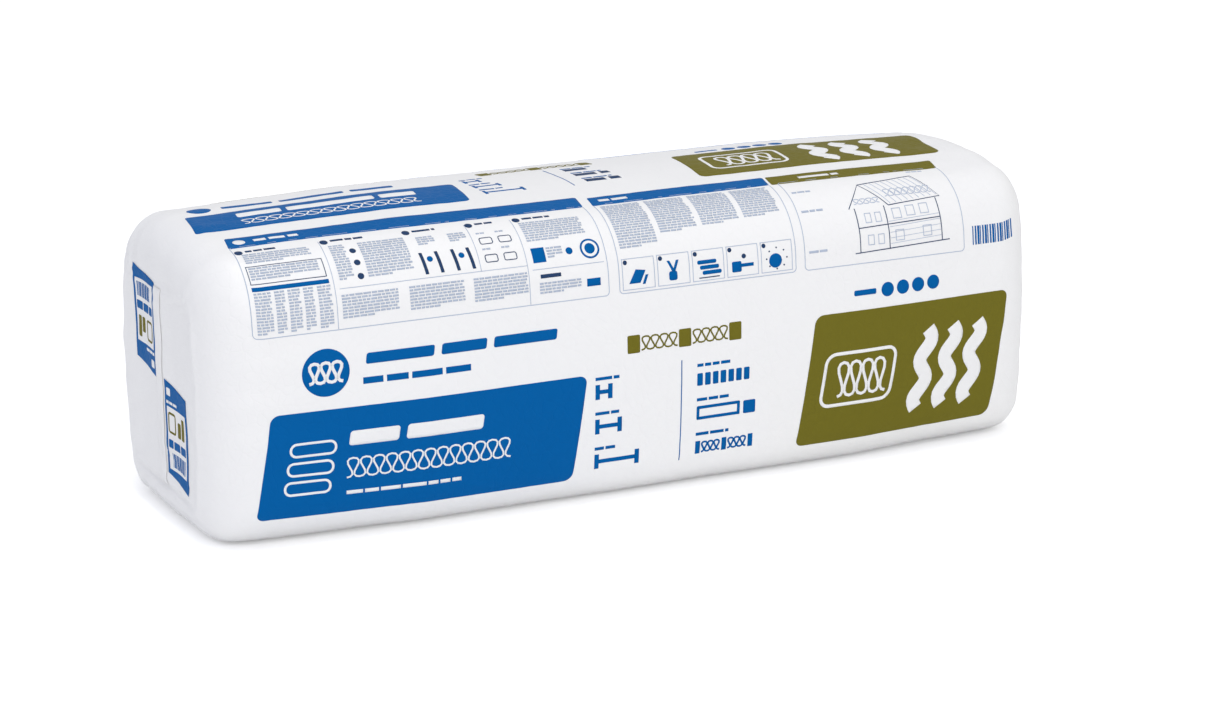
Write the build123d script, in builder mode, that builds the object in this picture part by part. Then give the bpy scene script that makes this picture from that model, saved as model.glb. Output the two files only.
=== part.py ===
"""Bag of glass-fibre insulation batts, lying on its long side.

Seven kraft-faced batts, each folded in half, are pressed side by side and
sealed in a bag of white printed film. The wool swells against the film, so
the faces bow out and the long edges are round. The ends draw in, lift off
the floor and round over to a flat, with the film's seal lying on it.

X runs along the bag, -Y is its printed front and +Z is up. The origin is in
the middle of the base, on the floor. Lengths are in millimetres.
"""
import os
from math import radians, sin, sqrt

from build123d import *

# Batts
batt_count = 7  # folded batts, side by side
batt_length = 2362.0  # one batt laid out flat, 93 in
batt_width = 387.0  # 15 in batt, spread 6 mm by the pressing
layer = 29.4  # one layer of wool, pressed from 89 mm
fold_slit = 1.0  # between the two layers of a folded batt
batt_gap = 0.6  # between neighbouring batts

# Film
film = 0.6  # wall of the bag
film_gap = 3.0  # slack, from the film to the wool
end_room = 8.9  # slack film past the batts at each end
seal_width = 25.0  # strip where the film is welded shut, laid over on each end
seal_thickness = 1.2  # two skins of film

# Swelling of the full bag
front_swell = 15.0  # front and back faces, from their long edges to the middle
top_crown = 25.0  # top face, from its long edges to the ridge
resting_length = 640.0  # middle of the bag, which lies flat on the floor
end_lift = 3.0  # underside, from the resting length to the end's rounding
end_taper = 12.0  # each side, over the same length
end_drop = 5.0  # top, over the same length

# Long edges
top_front_radius = 86.0
top_back_radius = 96.0
bottom_front_radius = 66.0
bottom_back_radius = 52.0

# Rounding of each end, from the long faces to its flat
end_side_radius = 75.0  # at the front and at the back
end_top_radius = 53.0
end_base_radius = 36.0
flat_corner_radius = 30.0  # what is left of the long edges' radii on the flat
end_bands = 4  # straight bands that make up the rounding

folded_length = batt_length / 2
batt_thickness = 2 * layer + fold_slit
batt_pitch = batt_thickness + batt_gap
stack_depth = batt_count * batt_pitch - batt_gap
bag_length = folded_length + 2 * (end_room + film)
bag_depth = stack_depth + 2 * (film_gap + film)
bag_height = batt_width + 2 * (film_gap + film)
half_rest = resting_length / 2


def drawn_in(radius, to_flat):
    """How far an end's rounding of this radius moves a face in, at a distance from the end's flat."""
    along = max(radius - to_flat, 0)
    return radius - sqrt(radius**2 - along**2)


def cross_section(position, inset):
    """The section across the bag at a place along it, every side moved in by inset."""
    to_flat = bag_length / 2 - inset - position
    tapering_length = bag_length / 2 - end_side_radius - half_rest
    tapered = min((position - half_rest) / tapering_length, 1)
    side_in = drawn_in(end_side_radius - inset, to_flat)
    rounded = side_in / (end_side_radius - inset)

    edge_depth = bag_depth / 2 - front_swell - inset - end_taper * tapered - side_in
    face_depth = edge_depth + front_swell
    base = inset + end_lift * tapered + drawn_in(end_base_radius - inset, to_flat)
    ridge = bag_height - inset - end_drop * tapered - drawn_in(end_top_radius - inset, to_flat)
    shoulder = ridge - top_crown
    middle = (base + shoulder) / 2

    with BuildSketch(Plane.YZ.offset(position)) as section:
        with BuildLine():
            Line((-edge_depth, base), (edge_depth, base))
            ThreePointArc((edge_depth, base), (face_depth, middle), (edge_depth, shoulder))
            ThreePointArc((edge_depth, shoulder), (0, ridge), (-edge_depth, shoulder))
            ThreePointArc((-edge_depth, shoulder), (-face_depth, middle), (-edge_depth, base))
        make_face()
        for corner, radius in (
            ((-edge_depth, shoulder), top_front_radius),
            ((edge_depth, shoulder), top_back_radius),
            ((-edge_depth, base), bottom_front_radius),
            ((edge_depth, base), bottom_back_radius),
        ):
            rounded_radius = radius + (flat_corner_radius - radius) * rounded - inset
            fillet(section.vertices().sort_by_distance(corner)[0], rounded_radius)
    return section.sketch


def stuffed_form(inset):
    """The form of the full bag, every face moved in by inset. One half is made and mirrored."""
    sections = [cross_section(half_rest, inset)]
    for band in range(end_bands + 1):
        turn = radians(90 * band / end_bands)
        to_flat = (end_side_radius - inset) * (1 - sin(turn))
        sections.append(cross_section(bag_length / 2 - inset - to_flat, inset))

    with BuildPart() as form:
        extrude(sections[0], amount=-half_rest)
        loft(sections, ruled=True)
        mirror(about=Plane.YZ)
    return form.part


def save(part, name):
    """Name a finished piece and write it to its own file."""
    part.label = name
    export_step(part, f"parts/{name}.step")


os.makedirs("parts", exist_ok=True)

# Bag: one skin of film round the whole stack, welded shut up the middle of each end
seal_foot = end_lift + end_base_radius
seal_head = bag_height - end_drop - end_top_radius - top_crown
with BuildPart() as bag_film:
    add(stuffed_form(0))
    add(stuffed_form(film), mode=Mode.SUBTRACT)
    with BuildSketch(Plane.YZ.offset(bag_length / 2 - film)):
        with Locations((0, (seal_foot + seal_head) / 2)):
            Rectangle(seal_width, seal_head - seal_foot)
    seal = extrude(amount=film + seal_thickness)
    mirror(seal, about=Plane.YZ)
save(bag_film.part, "bag_film")

# Batts: each folded in half, the fold at alternate ends, on edge and pressed to the form of the bag
wool_space = stuffed_form(film + film_gap)
for number in range(batt_count):
    centre = number * batt_pitch + (batt_thickness - stack_depth) / 2
    fold_end = Axis.X if number % 2 == 0 else -Axis.X
    with BuildPart() as batt:
        with BuildSketch(Plane.XY) as outline:
            with Locations((0, centre)):
                Rectangle(folded_length, batt_thickness)
            fillet(outline.vertices().group_by(fold_end)[-1], layer)
            with Locations((-layer * fold_end.direction.X / 2, centre)):
                Rectangle(folded_length - layer, fold_slit, mode=Mode.SUBTRACT)
        extrude(amount=bag_height)
        add(wool_space, mode=Mode.INTERSECT)
    save(batt.part, f"batt_{number + 1}")
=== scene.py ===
"""A sealed film bag of folded insulation batts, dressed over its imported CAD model.

Lengths are in metres, +Z is up and the printed front looks towards -Y.
"""
import math
from bisect import bisect_right

import bmesh
import bpy
from mathutils import Euler, Matrix, Vector, noise
from mathutils.bvhtree import BVHTree


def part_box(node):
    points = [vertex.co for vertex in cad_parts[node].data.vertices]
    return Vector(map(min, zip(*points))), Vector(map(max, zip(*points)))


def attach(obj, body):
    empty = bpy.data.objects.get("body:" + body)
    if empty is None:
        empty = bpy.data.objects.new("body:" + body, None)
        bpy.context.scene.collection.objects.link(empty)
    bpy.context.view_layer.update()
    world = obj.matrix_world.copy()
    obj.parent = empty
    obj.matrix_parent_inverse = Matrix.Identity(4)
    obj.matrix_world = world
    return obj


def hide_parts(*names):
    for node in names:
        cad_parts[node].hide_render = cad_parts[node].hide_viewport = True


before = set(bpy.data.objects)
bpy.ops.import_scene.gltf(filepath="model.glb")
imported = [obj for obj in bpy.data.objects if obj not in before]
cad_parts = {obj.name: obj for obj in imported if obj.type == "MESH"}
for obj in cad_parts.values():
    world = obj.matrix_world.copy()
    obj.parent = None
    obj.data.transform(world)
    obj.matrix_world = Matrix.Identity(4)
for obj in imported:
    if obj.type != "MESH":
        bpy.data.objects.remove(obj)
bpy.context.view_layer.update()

# Camera
# It stands off the bag's left front corner, a little above it, as in the photograph,
# and looks across the printed front to the left end.
camera_place = Vector((-1.9121, -4.0398, 1.3512))
camera_yaw = math.radians(25.785)
camera_pitch = math.radians(15.097)
camera_roll = math.radians(-0.492)
sensor_width = 36.0
camera_lens = 100.89

camera_data = bpy.data.cameras.new("camera")
camera_data.sensor_width = sensor_width
camera_data.lens = camera_lens
camera = bpy.data.objects.new("camera", camera_data)
bpy.context.scene.collection.objects.link(camera)
camera.matrix_world = (
    Matrix.Translation(camera_place)
    @ Euler((math.pi / 2 - camera_pitch, 0, -camera_yaw)).to_matrix().to_4x4()
    @ Matrix.Rotation(camera_roll, 4, "Z")
)
bpy.context.scene.camera = camera

# Bag
# One tube of white polyethylene film, blown to about a tenth of a millimetre and printed flat.
# The pressed batts swell it tight, so its faces bow out, and it draws in and puckers at the ends.
film_low, film_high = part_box("bag_film")
seal_stands_off = 0.0012
bag_half = film_high.x - seal_stands_off
bag_depth = film_high.y - film_low.y
bag_height = film_high.z
front_swell = 0.015  # front and back faces, from their long edges to the middle
top_crown = 0.025  # top face, from its long edges to the ridge
rest_half = 0.32  # half of the length that lies flat on the floor
end_lift = 0.003  # underside, from there to the end's rounding
end_taper = 0.012  # each side, over the same length
end_drop = 0.005  # top, over the same length
end_side_radius = 0.075
end_top_radius = 0.053
end_base_radius = 0.036
edge_radii = {"bottom_front": 0.066, "top_front": 0.086, "top_back": 0.096, "bottom_back": 0.052}
flat_corner_radius = 0.030  # what is left of the long edges' radii on the end's flat
underside_radius = 200.0  # of an arc so wide that the underside is flat
side_points = {"front": 46, "top": 44, "back": 46, "under": 50}
edge_points = {"bottom_front": 20, "top_front": 24, "top_back": 26, "bottom_back": 16}
ring_gap = 0.0055  # from ring to ring of the mesh, along the bag
end_rings = 34  # over the rounding of each end
cap_rings = 30  # over each end's flat, from its rim in to the weld


def drawn_in(radius, to_flat):
    """How far an end's rounding moves a face in, at a distance from the end's flat."""
    along = max(radius - to_flat, 0)
    return radius - math.sqrt(radius**2 - along**2)


def bow(chord, rise):
    """The radius of an arc over a chord."""
    return (chord**2 / 4 + rise**2) / (2 * rise)


def edge_centre(centre_a, radius_a, centre_b, radius_b, radius, near):
    """Centre of the arc that rounds the edge where two bowed faces meet."""
    a, b = radius_a - radius, radius_b - radius
    across = centre_b - centre_a
    gap = across.length
    along = (gap**2 + a**2 - b**2) / (2 * gap)
    off = math.sqrt(max(a**2 - along**2, 0))
    unit = across / gap
    normal = Vector((-unit.y, unit.x))
    choices = [centre_a + unit * along + normal * off * side for side in (1, -1)]
    return min(choices, key=lambda point: (point - near).length)


def bag_section(x):
    """The film's points round the bag at a place along it, from the bottom front edge up over the top."""
    to_flat = bag_half - abs(x)
    tapered = min(max((abs(x) - rest_half) / (bag_half - end_side_radius - rest_half), 0), 1)
    side_in = drawn_in(end_side_radius, to_flat)
    rounded = side_in / end_side_radius
    depth = bag_depth / 2 - front_swell - end_taper * tapered - side_in
    base = end_lift * tapered + drawn_in(end_base_radius, to_flat)
    ridge = bag_height - end_drop * tapered - drawn_in(end_top_radius, to_flat)
    shoulder = ridge - top_crown
    middle = (base + shoulder) / 2
    side = bow(shoulder - base, front_swell)
    top = bow(2 * depth, top_crown)
    faces = {
        "front": (Vector((-depth - front_swell + side, middle)), side),
        "top": (Vector((0, ridge - top)), top),
        "back": (Vector((depth + front_swell - side, middle)), side),
        "under": (Vector((0, base + underside_radius)), underside_radius),
    }
    corners = {
        "bottom_front": ("under", "front", (-depth, base)),
        "top_front": ("front", "top", (-depth, shoulder)),
        "top_back": ("top", "back", (depth, shoulder)),
        "bottom_back": ("back", "under", (depth, base)),
    }
    arcs = {}
    for edge, (before, after, corner) in corners.items():
        radius = edge_radii[edge] + (flat_corner_radius - edge_radii[edge]) * rounded
        centre = edge_centre(*faces[before], *faces[after], radius, Vector(corner))
        starts, ends = ((centre - faces[face][0]).normalized() for face in (before, after))
        arcs[edge] = (centre, radius, math.atan2(starts.y, starts.x), math.atan2(ends.y, ends.x))
    order = ("bottom_front", "front", "top_front", "top", "top_back", "back", "bottom_back", "under")
    points = []
    for place, name in enumerate(order):
        if name in arcs:
            centre, radius, start, end = arcs[name]
            count = edge_points[name]
        else:
            centre, radius = faces[name]
            start = arcs[order[place - 1]][3]
            end = arcs[order[(place + 1) % len(order)]][2]
            count = side_points[name]
        sweep = (start - end) % (2 * math.pi)
        for step in range(count):
            turn = start - sweep * step / count
            points.append(centre + radius * Vector((math.cos(turn), math.sin(turn))))
    return points


def station_places():
    """Where the rings of the film stand along X: even between the ends, closer on their rounding."""
    straight = bag_half - end_side_radius
    count = round(2 * straight / ring_gap)
    middle = [-straight + 2 * straight * step / count for step in range(count + 1)]
    turns = [math.pi / 2 * step / end_rings for step in range(1, end_rings + 1)]
    curved = [straight + end_side_radius * math.sin(turn) for turn in turns]
    return [-x for x in reversed(curved)] + middle + curved


def soft_step(low, high, value):
    """0 below low, 1 above high and smooth between."""
    t = min(max((value - low) / (high - low), 0), 1)
    return t * t * (3 - 2 * t)


def wave(point, size, seed):
    """Smooth noise, about -1 to 1, with its waves of a size."""
    return noise.noise(Vector(point) / size + Vector((seed * 7.3, seed * 3.1, seed * 5.7)))


# Each kind of slack has its height and the size of its waves.
swell_height, swell_size = 0.0011, 0.16
pucker_height, pucker_size, pucker_stretch = 0.0007, 0.045, 0.45
pull_height, pull_size, pull_stretch = 0.0016, 0.035, 0.30
pull_start, pull_full, pull_fade = 0.30, 0.56, 0.03  # along the bag, and in over the end's flat
crinkle_height, crinkle_size = 0.00035, 0.018
crease_height, crease_width = 0.0020, 0.006
crease_inset = 0.010  # from the rim of the end's flat, round towards the long faces
crease_wander, crease_wave = 0.4, 0.06
crease_thins, crease_ends = 0.29, 0.34  # up from the floor
set_back = 0.0006  # of the whole film, so that its waves lie about the tight form


def slack(x, girth, point):
    """How far the film lies off its tight form, in metres."""
    near_end = soft_step(pull_start, pull_full, abs(x))
    swell = swell_height * wave((x, point.y, point.z), swell_size, 1)
    pucker = pucker_height * wave((x * pucker_stretch, point.y, point.z), pucker_size, 2)
    past_rim = soft_step(bag_half, bag_half + pull_fade, abs(x))
    pull = pull_height * near_end * (1 - past_rim) * wave((x * pull_stretch, girth, 0), pull_size, 3)
    crinkle = crinkle_height * wave((x, point.y, point.z), crinkle_size, 4)
    to_flat = min(max(bag_half - abs(x), 0), end_side_radius)
    from_rim = end_side_radius * math.acos(1 - to_flat / end_side_radius) - max(abs(x) - bag_half, 0)
    below_top = 1 - soft_step(crease_thins, crease_ends, point.z)
    crease = crease_height * below_top * math.exp(-(((from_rim - crease_inset) / crease_width) ** 2))
    crease *= 1 + crease_wander * wave((point.y, point.z, x), crease_wave, 8)
    return swell + pucker * (0.5 + near_end) + pull - set_back + crinkle + crease


stations = station_places()
sections = [bag_section(x) for x in stations]
around = len(sections[0])
mid_ring = sections[len(stations) // 2]
girth_places = [0.0]
for here, there in zip(mid_ring, mid_ring[1:]):
    girth_places.append(girth_places[-1] + (there - here).length)
whole_girth = girth_places[-1] + (mid_ring[0] - mid_ring[-1]).length


def grow_ring(mesh, ring):
    """Extrude a closed ring of the film once, and give the new ring in the same order."""
    edges = [mesh.edges.get((ring[k], ring[(k + 1) % len(ring)])) for k in range(len(ring))]
    grown = bmesh.ops.extrude_edge_only(mesh, edges=edges)["geom"]
    fresh = {item for item in grown if isinstance(item, bmesh.types.BMVert)}
    return [
        next(edge.other_vert(old) for edge in old.link_edges if edge.other_vert(old) in fresh)
        for old in ring
    ]


def line_distance(point, start, end):
    """How far a point lies from a line between two points, and on which side of it."""
    along = (point - start).dot(end - start) / (end - start).length_squared
    nearest = start + (end - start) * min(max(along, 0), 1)
    side = (end - start).x * (point - start).y - (end - start).y * (point - start).x
    return (point - nearest).length, math.copysign(1, side)


# Each fold runs from one place (across, up) to another and has a depth. The film banks up beside it.
tuck_width = 0.0035
bank_share, bank_off, bank_width = 0.6, 0.007, 0.012
tucks = (
    (Vector((-0.150, 0.045)), Vector((0.125, 0.049)), 0.0024),
    (Vector((-0.135, 0.052)), Vector((-0.012, 0.100)), 0.0010),
    (Vector((0.135, 0.054)), Vector((0.012, 0.094)), 0.0010),
    (Vector((-0.130, 0.318)), Vector((0.0, 0.284)), 0.0007),
    (Vector((0.130, 0.316)), Vector((0.0, 0.290)), 0.0008),
)


def tuck(point):
    """Depth of the folds that the tucked corners leave on an end, at a place (across, up)."""
    depth = 0.0
    for start, end, deep in tucks:
        apart, side = line_distance(point, start, end)
        depth += deep * math.exp(-((apart / tuck_width) ** 2))
        depth -= deep * bank_share * math.exp(-(((apart - side * bank_off) / bank_width) ** 2))
    return depth


seal_low, seal_high = 0.062, 0.296  # the weld up the middle of each end, which gathers the film
slot_half = 0.002
end_dish = 0.0022
gather_height, gather_size, gather_stretch = 0.0008, 0.030, 0.3
gather_reach = 0.035  # from the weld
tuck_start = 0.12  # share of the way from the rim to the weld
cap_length = 0.13  # of the film from the rim to the weld, for its pattern
floor_gap = 0.0003

bag = bmesh.new()
ring = bmesh.ops.create_circle(bag, segments=around, radius=1)["verts"]
rings = []
place_of = {}
for x, section in zip(stations, sections):
    if rings:
        ring = grow_ring(bag, ring)
    for vertex, point, girth in zip(ring, section, girth_places):
        vertex.co = (x, point.x, point.y)
        place_of[vertex] = (x, girth)
    rings.append(ring)

for side, rim, outline in ((-1, rings[0], sections[0]), (1, rings[-1], sections[-1])):
    ring = rim
    for step in range(1, cap_rings + 1):
        ring = grow_ring(bag, ring)
        t = step / cap_rings
        for vertex, point, girth in zip(ring, outline, girth_places):
            gathered = Vector((math.copysign(slot_half, point.x), min(max(point.y, seal_low), seal_high)))
            across = point.lerp(gathered, t)
            dish = end_dish * math.sin(math.pi * t) ** 2
            near_weld = gather_height * math.exp(-abs(across.x) / gather_reach)
            pucker = near_weld * wave((across.x * gather_stretch, across.y, side), gather_size, 5)
            fold = tuck(across) * soft_step(0.0, tuck_start, t)
            vertex.co = (side * (bag_half - dish - fold + pucker * t), across.x, across.y)
            place_of[vertex] = (side * (bag_half + cap_length * t), girth)
    bmesh.ops.contextual_create(bag, geom=ring)

bmesh.ops.recalc_face_normals(bag, faces=bag.faces)
bag.normal_update()
lying_off = {vertex: slack(*place, vertex.co) for vertex, place in place_of.items()}
for vertex, off in lying_off.items():
    vertex.co += vertex.normal * off
    vertex.co.z = max(vertex.co.z, floor_gap)
bag.normal_update()

film_points = [[vertex.co.copy() for vertex in ring] for ring in rings]
film_normals = [[vertex.normal.copy() for vertex in ring] for ring in rings]
film_tree = BVHTree.FromBMesh(bag)

film_uv = bag.loops.layers.uv.new("film")
for face in bag.faces:
    face.smooth = True
    places = [place_of[loop.vert] for loop in face.loops]
    wraps = max(girth for _, girth in places) - min(girth for _, girth in places) > whole_girth / 2
    for loop, (x, girth) in zip(face.loops, places):
        loop[film_uv].uv = (x, girth + (whole_girth if wraps and girth < whole_girth / 2 else 0))


def finished(name, mesh, materials):
    """Turn a bmesh into a piece of the object, at the origin, with its materials."""
    data = bpy.data.meshes.new(name)
    mesh.to_mesh(data)
    mesh.free()
    for material in materials:
        data.materials.append(material)
    piece = bpy.data.objects.new(name, data)
    bpy.context.scene.collection.objects.link(piece)
    return piece


def with_values(node, values):
    """Set a shader node's inputs, each by its name or number, and give the node."""
    for name, value in values.items():
        node.inputs[name].default_value = value
    return node


def crinkle_group():
    """Height of the small crinkles in blown film: soft dimples, with finer creases that cross them."""
    group = bpy.data.node_groups.new("film_crinkle", "ShaderNodeTree")
    for name, value in (("Dimple size", 30.0), ("Crease size", 70.0), ("Crease share", 0.4)):
        socket = group.interface.new_socket(name, in_out="INPUT", socket_type="NodeSocketFloat")
        socket.default_value = value
    group.interface.new_socket("Height", in_out="OUTPUT", socket_type="NodeSocketFloat")
    nodes, link = group.nodes, group.links.new
    inputs, outputs = nodes.new("NodeGroupInput"), nodes.new("NodeGroupOutput")
    place = nodes.new("ShaderNodeTexCoord")
    dimples = with_values(nodes.new("ShaderNodeTexNoise"), {"Detail": 3, "Distortion": 0.6})
    creases = nodes.new("ShaderNodeTexVoronoi")
    creases.feature = "DISTANCE_TO_EDGE"
    warp = with_values(nodes.new("ShaderNodeTexNoise"), {"Scale": 9})
    warped = nodes.new("ShaderNodeVectorMath")
    warped.operation = "MULTIPLY_ADD"
    with_values(warped, {1: (0.06, 0.06, 0.06)})
    link(place.outputs["Object"], dimples.inputs["Vector"])
    link(inputs.outputs["Dimple size"], dimples.inputs["Scale"])
    link(place.outputs["Object"], warp.inputs["Vector"])
    link(warp.outputs["Color"], warped.inputs[0])
    link(place.outputs["Object"], warped.inputs[2])
    link(warped.outputs["Vector"], creases.inputs["Vector"])
    link(inputs.outputs["Crease size"], creases.inputs["Scale"])
    ridges = with_values(nodes.new("ShaderNodeMapRange"), {"From Max": 0.12})
    link(creases.outputs["Distance"], ridges.inputs["Value"])
    mixed = nodes.new("ShaderNodeMix")
    link(inputs.outputs["Crease share"], mixed.inputs[0])
    link(dimples.outputs["Fac"], mixed.inputs[2])
    link(ridges.outputs["Result"], mixed.inputs[3])
    link(mixed.outputs[0], outputs.inputs["Height"])
    return group


film_crinkle = crinkle_group()
film_colour = (0.875, 0.868, 0.857)
film_roughness = 0.42
roughness_spread = 0.08
bump_strength = 0.35
bump_depth = 0.0012


def on_film(name, colour, roughness):
    """A finish that shares the film's crinkles: the film itself, or an ink printed on it."""
    material = bpy.data.materials.new(name)
    material.use_nodes = True
    nodes, link = material.node_tree.nodes, material.node_tree.links.new
    shader = with_values(nodes["Principled BSDF"], {"Base Color": (*colour, 1), "IOR": 1.5})
    crinkle = nodes.new("ShaderNodeGroup")
    crinkle.node_tree = film_crinkle
    height = with_values(nodes.new("ShaderNodeBump"), {"Strength": bump_strength, "Distance": bump_depth})
    link(crinkle.outputs["Height"], height.inputs["Height"])
    link(height.outputs["Normal"], shader.inputs["Normal"])
    rough = with_values(
        nodes.new("ShaderNodeMapRange"),
        {"To Min": roughness - roughness_spread, "To Max": roughness + roughness_spread},
    )
    link(crinkle.outputs["Height"], rough.inputs["Value"])
    link(rough.outputs["Result"], shader.inputs["Roughness"])
    return material


film_white = on_film("white_film", film_colour, film_roughness)
film_bag = finished("film_bag", bag, [film_white])
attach(film_bag, "root")
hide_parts("bag_film")

# Inks and how the film is printed
# The bag is printed flat in five inks before it is filled, so each print is drawn flat first, in
# metres along the bag and up its girth, and then laid on the film, a hair above it.
ink_colours = {
    "blue_ink": (0.0, 0.108, 0.350),
    "olive_ink": (0.162, 0.142, 0.016),
    "white_ink": (0.865, 0.860, 0.850),
    "grey_ink": (0.46, 0.52, 0.63),
    "navy_ink": (0.025, 0.055, 0.13),
}
blue, olive, white, grey, navy = range(len(ink_colours))
ink_roughness = 0.45
ink_gloss = 0.04
inks = [on_film(name, colour, ink_roughness) for name, colour in ink_colours.items()]
for ink in inks:
    with_values(ink.node_tree.nodes["Principled BSDF"], {"Specular IOR Level": ink_gloss})
first_coat = 0.00022
second_coat = 0.00040
ink_body = 0.00035
corner_sides = 6
round_sides = 28
print_lean = 0.1445  # to the right, for each metre up
print_start = 0.0766  # up the girth, from where the underside meets the bottom front edge to the print
rows = [girth - print_start for girth in girth_places]
back_start = 0.045  # up the girth, from where the underside meets the bottom back edge to the print
back_facts_drop = 0.014  # of the small print there, down towards the rest
back_foot = girth_places[around - side_points["under"]] - back_start - print_start


def inked(made, ink):
    """Give the ink to the faces that an operator just made."""
    faces = [item for item in made if isinstance(item, bmesh.types.BMFace)]
    for face in faces:
        face.material_index = ink
    return faces


def height_over_film(ink, coat):
    """The height of a given coat, or of the ink's usual one: white goes over the other inks."""
    return coat or (second_coat if ink == white else first_coat)


def patch(sheet, x, up, wide, high, ink, lean=0.0, corner=0.0, coat=None):
    """A rectangle of ink from its low left corner, leaning to the right as it rises."""
    place = Matrix((
        (wide, lean * high, 0, x + (wide + lean * high) / 2),
        (0, high, 0, up + high / 2),
        (0, 0, 1, height_over_film(ink, coat)),
        (0, 0, 0, 1),
    ))
    verts = bmesh.ops.create_grid(sheet, x_segments=1, y_segments=1, size=0.5, matrix=place)["verts"]
    inked(verts[0].link_faces, ink)
    if corner:
        verts = bmesh.ops.bevel(
            sheet, geom=verts, offset=corner, offset_type="OFFSET", segments=corner_sides,
            profile=0.5, affect="VERTICES", material=-1, clamp_overlap=True,
        )["verts"]
    return list(verts[0].link_faces)


def bars(sheet, spans, up, high, ink, **form):
    """A row of plain bars of ink, each with its own start and width."""
    for x, wide in spans:
        patch(sheet, x, up, wide, high, ink, **form)


def disc(sheet, x, up, radius, ink, sides=round_sides, coat=None):
    """A round dot of ink."""
    place = Matrix.Translation((x, up, height_over_film(ink, coat)))
    made = bmesh.ops.create_circle(sheet, cap_ends=True, segments=sides, radius=radius, matrix=place)
    return inked(made["verts"][0].link_faces, ink)


def hollow(sheet, faces, line):
    """Leave only the outline of a shape, as wide as a line."""
    bmesh.ops.inset_region(sheet, faces=faces, thickness=line, use_even_offset=True, use_boundary=True)
    bmesh.ops.delete(sheet, geom=faces, context="FACES_ONLY")


def framed(sheet, x, up, wide, high, line, ink, **form):
    """The outline of a rectangle of ink."""
    hollow(sheet, patch(sheet, x, up, wide, high, ink, **form), line)


def shape(sheet, corners, ink, coat=None):
    """A filled shape between a few corners."""
    height = height_over_film(ink, coat)
    verts = [sheet.verts.new((x, up, height)) for x, up in corners]
    return inked(bmesh.ops.contextual_create(sheet, geom=verts)["faces"], ink)


def stroke(sheet, route, line, ink, coat=None):
    """A line of ink along a route of points, squared off at its ends."""
    height = height_over_film(ink, coat)
    route = [Vector(point) for point in route]
    for step, point in enumerate(route):
        along = (route[min(step + 1, len(route) - 1)] - route[max(step - 1, 0)]).normalized()
        across = Vector((-along.y, along.x)) * line / 2
        if step == 0:
            rails = [sheet.verts.new() for _ in (-1, 1)]
            sheet.edges.new(rails)
        else:
            grown = bmesh.ops.extrude_edge_only(sheet, edges=[sheet.edges.get(rails)])["geom"]
            inked(grown, ink)
            fresh = [item for item in grown if isinstance(item, bmesh.types.BMVert)]
            rails = [next(vert for vert in fresh if sheet.edges.get((vert, old))) for old in rails]
        for vert, side in zip(rails, (-1, 1)):
            vert.co = (*(point + side * across), height)


loop_points = 16
loop_sway = 0.30  # of a loop's share of the width
full_row, last_row = 0.97, 0.55  # of a block's width
shortest_dash, dash_spread = 0.35, 1.3  # of the longest dash
dash_gap = 0.55  # in sizes


def loops(x, up, wide, high, turns):
    """The route of the usual drawing mark for wool: round loops that lean on each other."""
    steps = turns * loop_points
    route = []
    for step in range(steps + 1):
        turn = 2 * math.pi * step / loop_points
        sway = wide / turns * loop_sway * math.sin(2 * turn)
        route.append((x + wide * step / steps + sway, up + high / 2 * (1 - math.cos(turn))))
    return route


def lines_of_print(sheet, x, up, wide, high, size, ink, seed, pitch=2.1, longest=6.0, coat=None):
    """A block of fine print: rows of plain dashes, whose height is the size, and pitch apart in sizes."""
    count = max(int(high / (size * pitch)), 1)
    dashes = []
    for row in range(count):
        ends = wide * (full_row if row < count - 1 else last_row)
        dashes.append([])
        at = 0.0
        while at < ends - size:
            spread = abs(noise.noise(Vector((seed * 3.7, row * 5.3, len(dashes[row]) * 2.9))))
            length = min(size * longest * (shortest_dash + dash_spread * spread), ends - at)
            dashes[row].append((at, at + length))
            at += length + size * dash_gap
    most = max(len(row) for row in dashes)
    place = Matrix.Translation((0, 0, height_over_film(ink, coat)))
    verts = bmesh.ops.create_grid(
        sheet, x_segments=2 * most - 1, y_segments=2 * count - 1, size=1, matrix=place
    )["verts"]
    lines = [verts[2 * most * line:2 * most * (line + 1)] for line in range(2 * count)]
    kept = []
    for row, row_dashes in enumerate(dashes):
        level = up + high - size - row * size * pitch
        for line, lift in ((2 * row, 0), (2 * row + 1, size)):
            for column, vert in enumerate(lines[line]):
                dash = row_dashes[min(column // 2, len(row_dashes) - 1)]
                vert.co.x, vert.co.y = x + dash[column % 2], level + lift
        for dash in range(len(row_dashes)):
            corners = [
                lines[line][column]
                for line in (2 * row, 2 * row + 1)
                for column in (2 * dash, 2 * dash + 1)
            ]
            kept.append(set.intersection(*(set(vert.link_faces) for vert in corners)).pop())
    made = {face for vert in verts for face in vert.link_faces}
    bmesh.ops.delete(sheet, geom=list(made.difference(kept)), context="FACES")
    inked(kept, ink)


on_line = 1e-5  # nearer than this, a corner is taken to lie on a line
on_cut = 1e-7


def cut_up(sheet, columns, levels):
    """Cut a flat print's shapes along upright and level lines, so that they bend where the film does."""
    sheet.normal_update()
    bmesh.ops.reverse_faces(sheet, faces=[face for face in sheet.faces if face.normal.z < 0])
    for face in list(sheet.faces):
        parts = [face]
        for axis, lines in ((0, columns), (1, levels)):
            spots = [vert.co[axis] for part in parts for vert in part.verts]
            low = bisect_right(lines, min(spots) + on_line)
            high = bisect_right(lines, max(spots) - on_line)
            for line in lines[low:high]:
                plane = Vector((line, 0, 0)) if axis == 0 else Vector((0, line, 0))
                geom = {item for part in parts for item in (part, *part.edges, *part.verts)}
                cut = bmesh.ops.bisect_plane(
                    sheet, geom=list(geom), dist=on_cut, plane_co=plane, plane_no=(1 - axis, axis, 0)
                )["geom"]
                parts = [item for item in cut if isinstance(item, bmesh.types.BMFace)]


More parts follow.
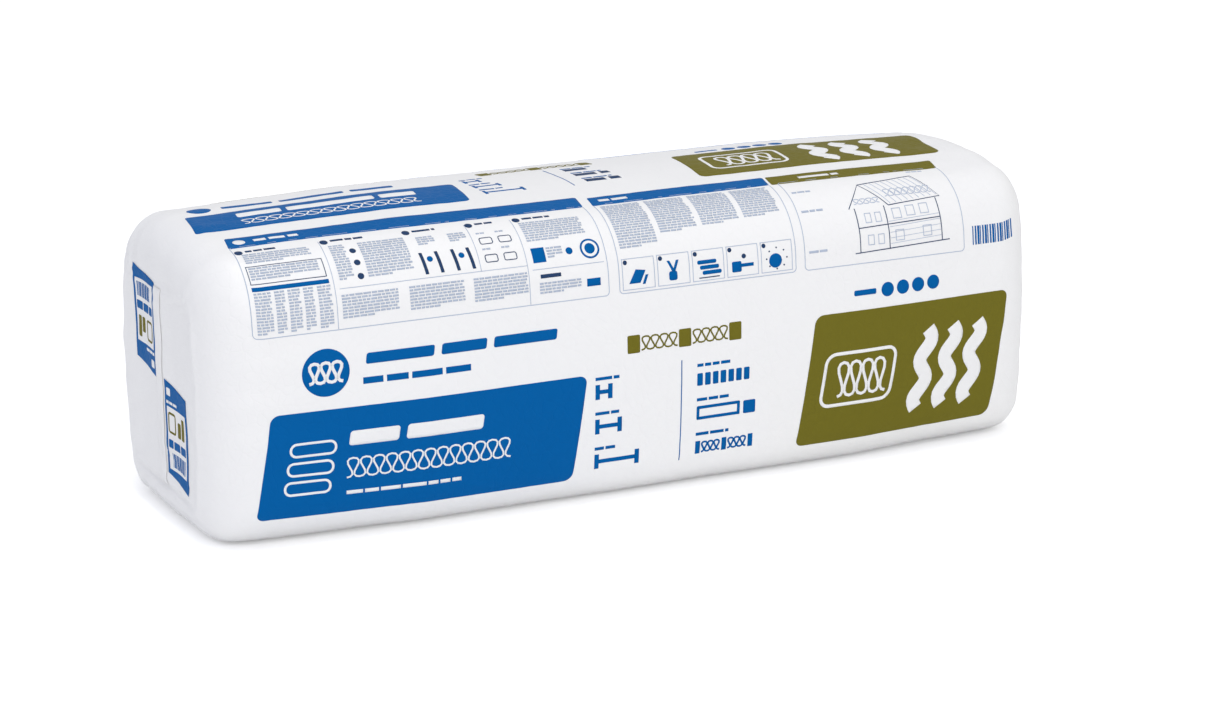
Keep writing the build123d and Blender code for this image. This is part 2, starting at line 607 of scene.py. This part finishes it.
def lay_on_film(sheet):
    """Bend a flat print onto the film: along the bag, and up its girth from the foot of the front print."""
    for vert in sheet.verts:
        x, up, lift = vert.co
        column = min(max(bisect_right(stations, x) - 1, 0), len(stations) - 2)
        row = min(max(bisect_right(rows, up) - 1, 0), len(rows) - 2)
        s = (x - stations[column]) / (stations[column + 1] - stations[column])
        t = (up - rows[row]) / (rows[row + 1] - rows[row])
        corners = ((column, row), (column + 1, row), (column, row + 1), (column + 1, row + 1))
        weights = ((1 - s) * (1 - t), s * (1 - t), (1 - s) * t, s * t)
        spot, out = Vector(), Vector()
        for (i, j), weight in zip(corners, weights):
            spot += film_points[i][j] * weight
            out += film_normals[i][j] * weight
        vert.co = spot + out.normalized() * lift


def print_piece(name, sheet):
    """Finish a print, once it is laid, as a piece of its own with the ink's small thickness."""
    for face in sheet.faces:
        face.smooth = True
    piece = finished(name, sheet, inks)
    body = piece.modifiers.new("ink_body", "SOLIDIFY")
    body.thickness = ink_body
    body.offset = -1
    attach(piece, "root")


def print_on_film(name, sheet):
    """Lay a flat print on the film, cut up so that it bends, and finish it."""
    cut_up(sheet, stations, rows)
    lay_on_film(sheet)
    print_piece(name, sheet)


def turned_copy(sheet, foot):
    """Repeat a flat print, turned half round, with its foot at a height up the girth."""
    geom = sheet.verts[:] + sheet.edges[:] + sheet.faces[:]
    copy = bmesh.ops.duplicate(sheet, geom=geom)["geom"]
    verts = [item for item in copy if isinstance(item, bmesh.types.BMVert)]
    bmesh.ops.transform(
        sheet, matrix=Matrix.Translation((0, foot, 0)) @ Matrix.Rotation(math.pi, 4, "Z"), verts=verts,
        space=Matrix.Identity(4),
    )


# Front print
# The broad face carries a blue panel at its left and an olive one at its right, each with plain
# white marks, and small blue marks between them. The back has the same print.
loop_line = 0.0042
small_loop_line = 0.0024
batt_high, batt_line = 0.076, 0.0046
wave_step = 0.004
stud_wide, stud_pitch = 0.018, 0.074
dot_radius, dot_pitch = 0.0098, 0.0245


def studded_batts(sheet, x, up, high):
    """Three olive studs, with a batt of loops in each bay between them."""
    bars(sheet, [(x + stud_pitch * stud, stud_wide) for stud in range(3)], up, high, olive, corner=0.002)
    for bay in range(2):
        route = loops(x + 0.020 + stud_pitch * bay, up + 0.003, 0.052, high - 0.006, 4)
        stroke(sheet, route, 0.0022, olive)


def dash_and_dots(sheet, x, up, rise=0.0):
    """A short bar with four dots after it."""
    patch(sheet, x, up, 0.034, 0.0075, blue, corner=0.002)
    for dot in range(4):
        disc(sheet, x + 0.052 + dot_pitch * dot, up + 0.004 + rise * dot, dot_radius, blue)


def batt_mark(sheet, x, up, wide, corner, inset):
    """A leaning batt in outline, with four loops of wool in it."""
    framed(sheet, x, up, wide, batt_high, batt_line, white, lean=print_lean, corner=corner)
    stroke(sheet, loops(x + inset, up + 0.014, wide - 0.038, 0.047, 4), loop_line, white)


def wave_mark(sheet, x, foot, lean_foot, steps, sway, turning, line):
    """A broad white line that sways as it rises, and leans with the print."""
    route = []
    for step in range(steps):
        up = foot + wave_step * step
        route.append((x + (up - lean_foot) * print_lean + sway * math.sin(up * turning), up))
    stroke(sheet, route, line, white)


front = bmesh.new()
patch(front, -0.545, 0.0, 0.4275, 0.1415, blue, lean=print_lean, corner=0.011)
for level in (0.030, 0.056, 0.082):
    framed(front, -0.514 + level * print_lean, level, 0.062, 0.020, 0.0032, white, corner=0.0095)
panel_bars = ((-0.425, 0.066), (-0.349, 0.104))
bars(front, panel_bars, 0.091, 0.019, white, lean=print_lean, corner=0.004)
stroke(front, loops(-0.428, 0.048, 0.222, 0.026, 13), small_loop_line, white)
lines_of_print(front, -0.428, 0.024, 0.280, 0.006, 0.0048, white, 1)

# Over the blue panel: a round mark beside a row of bars
disc(front, -0.452, 0.190, 0.031, blue, sides=48)
stroke(front, loops(-0.474, 0.177, 0.044, 0.026, 3), loop_line, white)
title = ((-0.400, 0.090), (-0.300, 0.062), (-0.228, 0.088))
bars(front, title, 0.195, 0.014, blue, lean=print_lean, corner=0.003)
lines_of_print(front, -0.404, 0.166, 0.262, 0.012, 0.0085, blue, 2)

# Between the panels: studded batts over three widths and three marks
post_left, mark_left = -0.086, 0.061
studded_batts(front, -0.040, 0.163, 0.024)
patch(front, 0.0375, 0.006, 0.0014, 0.139, blue)
for level, span in ((0.107, 0.012), (0.060, 0.026), (0.012, 0.052)):
    lines_of_print(front, post_left, level + 0.025, 0.062, 0.005, 0.0042, blue, 3 + level)
    patch(front, post_left, level, 0.0064, 0.020, blue)
    patch(front, post_left + 0.006, level + 0.0072, span, 0.0055, blue)
    patch(front, post_left + 0.006 + span, level, 0.0064, 0.020, blue)
    lines_of_print(front, mark_left, level + 0.025, 0.088, 0.005, 0.0042, blue, 8 + level)
for step in range(7):
    patch(front, mark_left + 0.0115 * step, 0.107, 0.0082, 0.017, blue, corner=0.0015)
framed(front, mark_left, 0.060, 0.064, 0.019, 0.0042, blue, corner=0.002)
patch(front, 0.130, 0.060, 0.018, 0.018, blue, corner=0.002)
bars(front, ((mark_left, 0.007), (0.100, 0.007), (0.139, 0.007)), 0.012, 0.018, blue)
for at in (mark_left, 0.100):
    stroke(front, loops(at + 0.009, 0.014, 0.027, 0.014, 3), 0.0026, blue)

# The olive panel, with a row of dots over it
patch(front, 0.212, -0.001, 0.306, 0.181, olive, lean=print_lean, corner=0.012)
batt_mark(front, 0.243, 0.050, 0.112, corner=0.016, inset=0.029)
for at in (0.394, 0.434, 0.474):
    wave_mark(front, at, 0.029, 0.0, steps=29, sway=0.0072, turning=112, line=0.021)
dash_and_dots(front, 0.296, 0.200, rise=0.0005)

turned_copy(front, back_foot)
print_on_film("front_print", front)

# Facts print
# The rounded long edge between the broad face and the top carries the small print: three framed
# boxes under title bands, with drawings, a table and blocks of fine print. The back edge has it too.
facts = bmesh.new()
fine = bmesh.new()
frame_line = 0.0011
rule_line = 0.0009
facts_foot = 0.2425
band_foot = 0.3835
band_lap = 0.004
fine_size, fine_pitch, fine_longest = 0.0023, 1.7, 4.5


def facts_box(x, wide):
    """One framed box of small print."""
    high = band_foot - facts_foot + band_lap
    framed(facts, x, facts_foot, wide, high, frame_line, grey, corner=0.006)


def small_print(x, up, wide, high, seed):
    """A dense block of the finest grey print, whose dashes are too short to need cutting up."""
    lines_of_print(
        fine, x, up, wide, high, fine_size, grey, seed,
        pitch=fine_pitch, longest=fine_longest, coat=second_coat,
    )


facts_box(-0.543, 0.480)
facts_box(-0.049, 0.259)
facts_box(0.2227, 0.2508)
patch(facts, -0.543, band_foot, 0.480, 0.036, blue, lean=print_lean, corner=0.004)
patch(facts, -0.049, band_foot, 0.259, 0.029, blue, lean=print_lean, corner=0.003)
patch(facts, 0.214, band_foot, 0.2595, 0.029, olive, lean=print_lean, corner=0.003)
disc(facts, -0.524, 0.402, 0.008, white)
lines_of_print(facts, -0.505, 0.396, 0.105, 0.010, 0.0075, white, 20)
lines_of_print(facts, -0.034, 0.394, 0.085, 0.008, 0.0065, white, 21)
lines_of_print(facts, 0.262, 0.394, 0.110, 0.008, 0.0065, white, 22)

# The first box has five columns under dotted titles, with ruled lines between them.
column_heads = ((-0.536, 0.072), (-0.426, 0.088), (-0.318, 0.056), (-0.232, 0.044), (-0.166, 0.070))
for number, (at, wide) in enumerate(column_heads):
    disc(facts, at, 0.3675, 0.0052, navy, sides=20)
    lines_of_print(facts, at + 0.009, 0.366, wide, 0.0050, 0.0040, navy, 30 + number)
for at, foot in ((-0.433, 0.2440), (-0.238, 0.2935), (-0.1745, 0.2440)):
    patch(facts, at, foot, rule_line, 0.370 - foot, grey)
patch(facts, -0.4265, 0.2935, 0.252, rule_line, grey)
patch(facts, -0.168, 0.2870, 0.100, rule_line, grey)

# Its first column: a block in a frame over a table
small_print(-0.534, 0.3420, 0.088, 0.020, 41)
framed(facts, -0.537, 0.3120, 0.098, 0.027, 0.0010, navy)
small_print(-0.534, 0.3145, 0.091, 0.022, 42)
patch(facts, -0.537, 0.3030, 0.099, 0.0055, blue)
table_columns = ((0.0, 0.022), (0.026, 0.013), (0.043, 0.016), (0.063, 0.013), (0.081, 0.018))
for number, (at, wide) in enumerate(table_columns):
    small_print(-0.536 + at, 0.2455, wide, 0.0555, 60 + number)

# Its middle columns: a list, two drawings and three blocks under a ruled line
small_print(-0.424, 0.300, 0.020, 0.058, 43)
for level in (0.345, 0.326, 0.307):
    disc(facts, -0.396, level, 0.0042, navy, sides=16)
small_print(-0.386, 0.300, 0.062, 0.058, 44)
for at in (-0.312, -0.291, -0.269, -0.248):
    patch(facts, at, 0.2985, 0.0044, 0.030, navy, lean=-0.10)
for at in (-0.302, -0.259):
    disc(facts, at, 0.3185, 0.0040, blue, sides=16)
    small_print(at - 0.008, 0.337, 0.024, 0.018, 45)
for at, level in ((-0.229, 0.330), (-0.203, 0.330), (-0.229, 0.304), (-0.203, 0.304)):
    framed(facts, at, level, 0.018, 0.011, 0.0012, navy, corner=0.003)
    small_print(at, level + 0.014, 0.020, 0.006, 46)
for number, at in enumerate((-0.4255, -0.337, -0.250)):
    small_print(at, 0.251, 0.076, 0.035, 47 + number)

# Its last column: a square, a dot and a ringed dot between blocks
small_print(-0.166, 0.322, 0.086, 0.038, 50)
patch(facts, -0.165, 0.296, 0.018, 0.020, blue)
small_print(-0.144, 0.297, 0.022, 0.018, 51)
disc(facts, -0.113, 0.307, 0.0048, blue, sides=16)
hollow(facts, disc(facts, -0.084, 0.307, 0.0135, blue, sides=32), 0.0026)
disc(facts, -0.084, 0.307, 0.0072, blue)
lines_of_print(facts, -0.158, 0.2745, 0.060, 0.006, 0.0050, navy, 52)
small_print(-0.160, 0.251, 0.060, 0.019, 53)
patch(facts, -0.094, 0.258, 0.019, 0.010, blue)

# The second box has four blocks over five framed drawings.
for number, high in enumerate((0.080, 0.066, 0.061, 0.056)):
    small_print(-0.042 + number * 0.0625, 0.378 - high, 0.056, high, 54 + number)
drawing_left, drawing_pitch = -0.044, 0.0505
drawing_wide, drawing_high, drawing_foot = 0.0465, 0.041, 0.2465
spoke_turn = 0.785
spoke_wide, spoke_high = 0.015, 0.014


def cut_batt(x, up):
    """A slanted piece of batt with a blade beside it."""
    corners = ((-0.014, -0.010), (0.002, -0.010), (0.010, 0.006), (-0.004, 0.008))
    shape(facts, [(x + across, up + rise) for across, rise in corners], blue)
    patch(facts, x + 0.005, up - 0.012, 0.004, 0.012, blue, lean=0.4)


def open_shears(x, up):
    """A pair of blades that stand open over their grip."""
    patch(facts, x - 0.007, up - 0.012, 0.012, 0.012, blue, corner=0.003)
    for lean in (-0.5, 0.4):
        patch(facts, x - 0.002, up - 0.001, 0.004, 0.015, blue, lean=lean)


def stacked_batts(x, up):
    """Three layers, one on another, over the floor."""
    for level in (-0.010, -0.003, 0.004):
        patch(facts, x - 0.014 - level * 0.5, up + level, 0.028, 0.0052, blue, corner=0.0022)
    patch(facts, x - 0.014, up - 0.0145, 0.030, 0.0014, navy)


def packed_block(x, up):
    """A block with a bar pushed up to it, and a dot over them."""
    patch(facts, x - 0.016, up - 0.012, 0.014, 0.014, blue, corner=0.002)
    patch(facts, x - 0.003, up - 0.006, 0.019, 0.0045, blue)
    disc(facts, x + 0.002, up + 0.008, 0.0032, navy, sides=14)


def ringed_dot(x, up):
    """A large dot with eight small ones round it."""
    disc(facts, x - 0.002, up - 0.003, 0.0095, blue, sides=20)
    for step in range(8):
        turn = step * spoke_turn
        across, rise = spoke_wide * math.cos(turn), spoke_high * math.sin(turn)
        disc(facts, x + across, up + rise, 0.0012, navy, sides=8)


for number, drawing in enumerate((cut_batt, open_shears, stacked_batts, packed_block, ringed_dot)):
    left = drawing_left + number * drawing_pitch
    framed(facts, left, drawing_foot, drawing_wide, drawing_high, 0.0010, grey)
    disc(facts, left + 0.005, drawing_foot + 0.036, 0.0030, navy, sides=14)
    drawing(left + drawing_wide / 2, drawing_foot + 0.018)

# The third box has a plain house in thin lines, with wool under its roof.
house_line = 0.0013
window_line = 0.0011
wool_line = 0.0012
for route in (
    [(0.300, 0.318), (0.330, 0.358), (0.362, 0.318)],
    [(0.308, 0.318), (0.308, 0.258)],
    [(0.354, 0.318), (0.354, 0.258)],
    [(0.330, 0.358), (0.418, 0.366), (0.446, 0.324), (0.362, 0.318)],
    [(0.438, 0.322), (0.438, 0.262)],
    [(0.300, 0.257), (0.450, 0.262)],
    [(0.308, 0.290), (0.438, 0.294)],
):
    stroke(facts, route, house_line, navy)
for at, level in ((0.320, 0.296), (0.336, 0.296), (0.320, 0.266), (0.336, 0.266)):
    framed(facts, at, level, 0.010, 0.014, window_line, grey)
for at, level in ((0.364, 0.298), (0.386, 0.300), (0.408, 0.301), (0.364, 0.268), (0.408, 0.270)):
    framed(facts, at, level, 0.014, 0.015, window_line, grey)
stroke(facts, loops(0.362, 0.332, 0.074, 0.012, 7), wool_line, grey)
stroke(facts, loops(0.310, 0.324, 0.040, 0.008, 4), wool_line, grey)
for step in range(9):
    across, rise = 0.0095 * step, 0.0008 * step
    stroke(facts, [(0.340 + across, 0.3575 + rise), (0.366 + across, 0.3205 + rise)], 0.0008, grey)
for step in range(5):
    stroke(facts, [(0.356, 0.265 + 0.0075 * step), (0.437, 0.269 + 0.0075 * step)], 0.0007, grey)
house_notes = ((0.230, 0.352, 0.050), (0.230, 0.318, 0.058), (0.230, 0.262, 0.058), (0.420, 0.374, 0.046))
for number, (at, level, wide) in enumerate(house_notes):
    lines_of_print(facts, at, level, wide, 0.0060, 0.0032, grey, 70 + number)

# Beside the boxes stands a row of bars of three widths.
for bar in range(17):
    patch(facts, 0.487 + bar * 0.0041, 0.2495, 0.0016 + 0.0008 * ((bar * 7) % 3), 0.026, blue)

for sheet in (facts, fine):
    turned_copy(sheet, back_foot + back_facts_drop)
print_on_film("facts_print", facts)
lay_on_film(fine)
print_piece("fine_print", fine)

# Top print
# The top carries two more colour panels, a blue one at the left and an olive one at the right,
# with a row of small marks between and above them.
top = bmesh.new()
patch(top, -0.563, 0.4535, 0.372, 0.094, blue, lean=print_lean, corner=0.008)
panel_bars = ((-0.490, 0.060), (-0.422, 0.120), (-0.294, 0.050))
bars(top, panel_bars, 0.508, 0.020, white, lean=print_lean, corner=0.004)
stroke(top, loops(-0.492, 0.472, 0.240, 0.022, 13), small_loop_line, white)
disc(top, -0.520, 0.578, 0.016, blue, sides=32)
title = ((-0.490, 0.070), (-0.410, 0.090), (-0.310, 0.060))
bars(top, title, 0.572, 0.014, blue, lean=print_lean, corner=0.003)

# Between the panels: three widths and three rows of dashes, with studded batts over them
post_left, dash_left = -0.160, -0.012
for level, span in ((0.474, 0.050), (0.508, 0.030), (0.542, 0.016)):
    patch(top, post_left, level, 0.0042, 0.015, blue)
    patch(top, post_left + 0.004, level + 0.0055, span, 0.004, blue)
    patch(top, post_left + 0.004 + span, level, 0.0042, 0.015, blue)
    lines_of_print(top, post_left, level + 0.019, 0.060, 0.005, 0.0042, blue, 80 + level)
    lines_of_print(top, dash_left, level + 0.019, 0.080, 0.005, 0.0042, blue, 84 + level)
    lines_of_print(top, dash_left, level, 0.092, 0.016, 0.0120, navy, 88 + level)
patch(top, -0.036, 0.468, 0.0014, 0.100, blue)
studded_batts(top, -0.120, 0.583, 0.022)

patch(top, 0.139, 0.4425, 0.374, 0.131, olive, lean=print_lean, corner=0.010)
batt_mark(top, 0.172, 0.470, 0.120, corner=0.014, inset=0.028)
for at in (0.346, 0.394, 0.442):
    wave_mark(top, at, 0.461, 0.46, steps=24, sway=0.0070, turning=137, line=0.022)
dash_and_dots(top, 0.206, 0.588)
print_on_film("top_print", top)

# End labels
# Each end has two printed labels, one each side of the seal. One is the right way up and the other
# is on its head, because the film is printed before it is folded over the end.
third_coat = 0.00058
label_lift = 0.0005
label_gap = 0.003  # between the lines along which a label bends
label_lines = [line * label_gap for line in range(-50, 120)]
clear_of_end = 0.05
lower_label, upper_label = (0.058, 0.126), (-0.0525, 0.2545)


def on_end(side, across, up, lift):
    """A place off the film of an end, found across it as seen from outside, and up from the floor."""
    start = Vector((side * (bag_half + clear_of_end), side * across, up))
    spot = film_tree.ray_cast(start, Vector((-side, 0, 0)))[0]
    return spot + Vector((side * lift, 0, 0))


def lay_on_end(sheet, side):
    """Press a flat print onto an end."""
    for vert in sheet.verts:
        across, up, lift = vert.co
        vert.co = on_end(side, across, up, lift + label_lift)


for side, name in ((-1, "left_labels"), (1, "right_labels")):
    label = bmesh.new()
    shape(label, [(-0.039, -0.0565), (0.039, -0.0678), (0.039, 0.0562), (-0.039, 0.0675)], blue)
    patch(label, -0.0325, -0.050, 0.065, 0.0835, white)
    lines_of_print(label, -0.034, 0.036, 0.062, 0.005, 0.0036, white, 100)
    patch(label, -0.033, 0.048, 0.013, 0.010, white, corner=0.002)
    framed(label, -0.029, -0.001, 0.024, 0.028, 0.0030, olive, corner=0.005, coat=third_coat)
    for at, tall in ((0.002, 0.020), (0.016, 0.028)):
        patch(label, at, -0.001, 0.0105, tall, olive, corner=0.002, coat=third_coat)
    spans = ((-0.030, 0.014), (-0.013, 0.020), (0.010, 0.020))
    bars(label, spans, -0.0205, 0.011, blue, corner=0.002, coat=third_coat)
    for bar in range(14):
        wide = 0.0014 + 0.0006 * ((bar * 5) % 3)
        patch(label, -0.020 + bar * 0.0034, -0.0455, wide, 0.019, blue, coat=third_coat)
    geom = label.verts[:] + label.edges[:] + label.faces[:]
    copied = bmesh.ops.duplicate(label, geom=geom)["geom"]
    for made, centre, turn in ((geom, lower_label, 0), (copied, upper_label, 180)):
        verts = [item for item in made if isinstance(item, bmesh.types.BMVert)]
        place = Matrix.Translation((*centre, 0)) @ Matrix.Rotation(math.radians(turn), 4, "Z")
        bmesh.ops.transform(label, matrix=place, verts=verts, space=Matrix.Identity(4))
    cut_up(label, label_lines, label_lines)
    lay_on_end(label, side)
    print_piece(name, label)

# End seals
# The film tube is welded shut up the middle of each end, by a hot bar with fine ribs, and the
# welded strip lies over flat against the end.
seal_half_width = 0.0125
seal_tail = 0.012  # past the gathered film, at the top and at the bottom
seal_skin = 0.0007
seal_lift = 0.0005
seal_columns, seal_rows = 14, 90
rib_height, rib_pitch, ribbed_half = 0.00012, 0.0042, 0.008
wander_height, wander_size = 0.0004, 0.05
sway_reach, sway_size = 0.0016, 0.09

seals = bmesh.new()
for side in (-1, 1):
    place = Matrix((
        (seal_half_width, 0, 0, 0),
        (0, (seal_high - seal_low) / 2 + seal_tail, 0, (seal_high + seal_low) / 2),
        (0, 0, 1, 0),
        (0, 0, 0, 1),
    ))
    strip = bmesh.ops.create_grid(seals, x_segments=seal_columns, y_segments=seal_rows, size=1, matrix=place)
    for vert in strip["verts"]:
        across, up, _ = vert.co
        rib = rib_height * math.cos(across * 2 * math.pi / rib_pitch) * (abs(across) < ribbed_half)
        wander = wander_height * wave((up, side, 0), wander_size, 6)
        vert.co = on_end(side, across, up, seal_skin + seal_lift + rib + abs(wander))
        vert.co.y += sway_reach * wave((up, side, 1), sway_size, 7)
bmesh.ops.recalc_face_normals(seals, faces=seals.faces)
seals.normal_update()
inward = [face for face in seals.faces if face.normal.x * face.calc_center_median().x < 0]
bmesh.ops.reverse_faces(seals, faces=inward)
for face in seals.faces:
    face.smooth = True
end_seals = finished("end_seals", seals, [film_white])
skin = end_seals.modifiers.new("skin", "SOLIDIFY")
skin.thickness = seal_skin
skin.offset = -1
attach(end_seals, "root")

# Batts
# Inside lie seven kraft-faced batts of pressed glass wool. The film hides them, and they keep
# their own finish: yellow wool in fine matted fibres.
wool_pale = (0.80, 0.66, 0.27, 1)
wool_deep = (0.62, 0.46, 0.13, 1)
fibre_scale = 420.0
tuft_scale = 35.0

wool = bpy.data.materials.new("pressed_wool")
wool.use_nodes = True
wool_nodes, wool_link = wool.node_tree.nodes, wool.node_tree.links.new
wool_shader = with_values(wool_nodes["Principled BSDF"], {"Roughness": 0.95})
wool_place = wool_nodes.new("ShaderNodeTexCoord")
fibres = with_values(
    wool_nodes.new("ShaderNodeTexNoise"), {"Scale": fibre_scale, "Detail": 6, "Distortion": 2.5}
)
tufts = with_values(wool_nodes.new("ShaderNodeTexNoise"), {"Scale": tuft_scale})
wool_mix = wool_nodes.new("ShaderNodeMix")
wool_mix.data_type = "RGBA"
with_values(wool_mix, {6: wool_deep, 7: wool_pale})
wool_bump = with_values(wool_nodes.new("ShaderNodeBump"), {"Strength": 0.8, "Distance": 0.002})
fuzz = wool_nodes.new("ShaderNodeMath")
fuzz.operation = "MULTIPLY"
wool_link(wool_place.outputs["Object"], fibres.inputs["Vector"])
wool_link(wool_place.outputs["Object"], tufts.inputs["Vector"])
wool_link(fibres.outputs["Fac"], fuzz.inputs[0])
wool_link(tufts.outputs["Fac"], fuzz.inputs[1])
wool_link(fibres.outputs["Fac"], wool_mix.inputs[0])
wool_link(wool_mix.outputs[2], wool_shader.inputs["Base Color"])
wool_link(fuzz.outputs["Value"], wool_bump.inputs["Height"])
wool_link(wool_bump.outputs["Normal"], wool_shader.inputs["Normal"])
for name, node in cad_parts.items():
    if name.startswith("batt_"):
        node.data.materials.clear()
        node.data.materials.append(wool)

# Floor and light
# A white studio floor under a white sky, a little bluer at the left, with one wide soft lamp before
# the bag and one above it, so the front is the brightest side and the left end the darkest.
floor_half = 9.0
floor_colour = (0.97, 0.97, 0.97)
floor_glow = 0.30
floor_mesh = bmesh.new()
bmesh.ops.create_grid(floor_mesh, x_segments=4, y_segments=4, size=floor_half)
floor_paint = bpy.data.materials.new("studio_floor")
floor_paint.use_nodes = True
paint_nodes, paint_link = floor_paint.node_tree.nodes, floor_paint.node_tree.links.new
paint = with_values(
    paint_nodes["Principled BSDF"],
    {"Base Color": (*floor_colour, 1), "Roughness": 0.9, "Specular IOR Level": 0.0},
)
glow = paint_nodes.new("ShaderNodeEmission")
glow_rays = paint_nodes.new("ShaderNodeLightPath")
glow_share = paint_nodes.new("ShaderNodeMath")
glow_share.operation = "MULTIPLY"
with_values(glow_share, {1: floor_glow})
both = paint_nodes.new("ShaderNodeAddShader")
paint_link(glow_rays.outputs["Is Camera Ray"], glow_share.inputs[0])
paint_link(glow_share.outputs["Value"], glow.inputs["Strength"])
paint_link(paint.outputs["BSDF"], both.inputs[0])
paint_link(glow.outputs["Emission"], both.inputs[1])
paint_link(both.outputs["Shader"], paint_nodes["Material Output"].inputs["Surface"])
floor = finished("floor", floor_mesh, [floor_paint])

sky_left = (0.93, 0.96, 1.09)
sky_right = (1.0, 1.0, 0.99)
sky_strength = 0.65
lamp_size = 3.6
lamp_target = Vector((0, 0, 0.2))
lamps = {
    "front_lamp": (Vector((-2.2, -7.4, 4.6)), 172.0),
    "top_lamp": (Vector((0.0, -1.0, 8.5)), 185.0),
}

world = bpy.data.worlds.new("studio")
bpy.context.scene.world = world
world.use_nodes = True
sky_nodes, sky_link = world.node_tree.nodes, world.node_tree.links.new
light_sky = with_values(sky_nodes["Background"], {"Strength": sky_strength})
sky_place = sky_nodes.new("ShaderNodeTexCoord")
sky_axes = sky_nodes.new("ShaderNodeSeparateXYZ")
sky_side = with_values(sky_nodes.new("ShaderNodeMapRange"), {"From Min": -1})
sky_tint = sky_nodes.new("ShaderNodeMix")
sky_tint.data_type = "RGBA"
with_values(sky_tint, {6: (*sky_left, 1), 7: (*sky_right, 1)})
sky_link(sky_place.outputs["Generated"], sky_axes.inputs[0])
sky_link(sky_axes.outputs["X"], sky_side.inputs["Value"])
sky_link(sky_side.outputs["Result"], sky_tint.inputs[0])
sky_link(sky_tint.outputs[2], light_sky.inputs["Color"])
seen_sky = with_values(sky_nodes.new("ShaderNodeBackground"), {"Color": (1, 1, 1, 1)})
rays = sky_nodes.new("ShaderNodeLightPath")
seen = sky_nodes.new("ShaderNodeMath")
seen.operation = "MAXIMUM"
choice = sky_nodes.new("ShaderNodeMixShader")
sky_link(rays.outputs["Is Camera Ray"], seen.inputs[0])
sky_link(rays.outputs["Is Transmission Ray"], seen.inputs[1])
sky_link(seen.outputs["Value"], choice.inputs["Fac"])
sky_link(light_sky.outputs["Background"], choice.inputs[1])
sky_link(seen_sky.outputs["Background"], choice.inputs[2])
sky_link(choice.outputs["Shader"], sky_nodes["World Output"].inputs["Surface"])

for name, (place, watts) in lamps.items():
    lamp_data = bpy.data.lights.new(name, "AREA")
    lamp_data.energy = watts
    lamp_data.size = lamp_size
    lamp = bpy.data.objects.new(name, lamp_data)
    bpy.context.scene.collection.objects.link(lamp)
    lamp.location = place
    lamp.rotation_euler = (lamp_target - place).to_track_quat("-Z", "Y").to_euler()

bpy.context.scene.view_settings.view_transform = "Standard"
